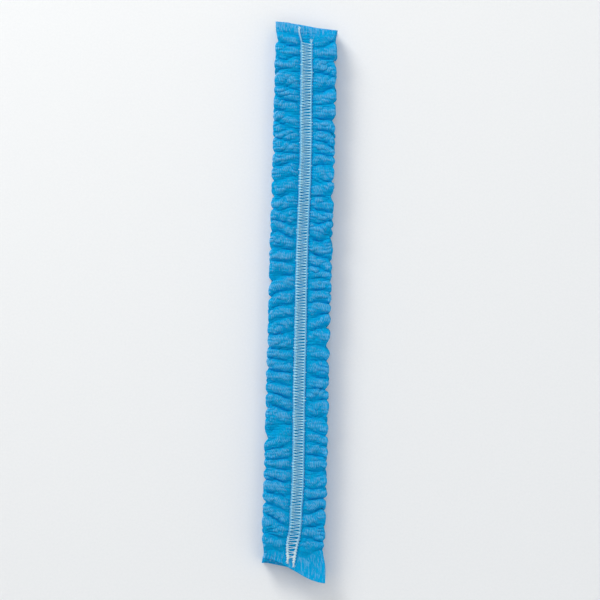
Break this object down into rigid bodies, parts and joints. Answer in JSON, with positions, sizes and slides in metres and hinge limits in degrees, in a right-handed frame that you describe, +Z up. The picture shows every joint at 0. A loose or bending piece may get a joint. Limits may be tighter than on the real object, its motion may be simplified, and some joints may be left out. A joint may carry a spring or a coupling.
{
  "type": "disposable hairnet",
  "caption": "Disposable nonwoven hairnet folded into a narrow accordion strip, gathered into crosswise puffs by elastic threads along its front and back pleats.",
  "frame": {"origin": "on the surface the strip lies on, under the middle of its bounding box", "axes": "+X across the strip towards its free rims, +Y along the strip, +Z up from the back pleat to the front pleat"},
  "size_m": [0.024, 0.21, 0.0102],
  "materials": {
    "nonwoven": "matte spunbond nonwoven, blue, slightly fuzzy",
    "elastic_thread": "white covered elastic thread, matte"
  },
  "bodies": {
    "root": {"pleated_crown": "nonwoven", "front_elastic_left": "elastic_thread", "front_elastic_right": "elastic_thread", "back_elastic_left": "elastic_thread", "back_elastic_right": "elastic_thread"}
  },
  "joints": []
}
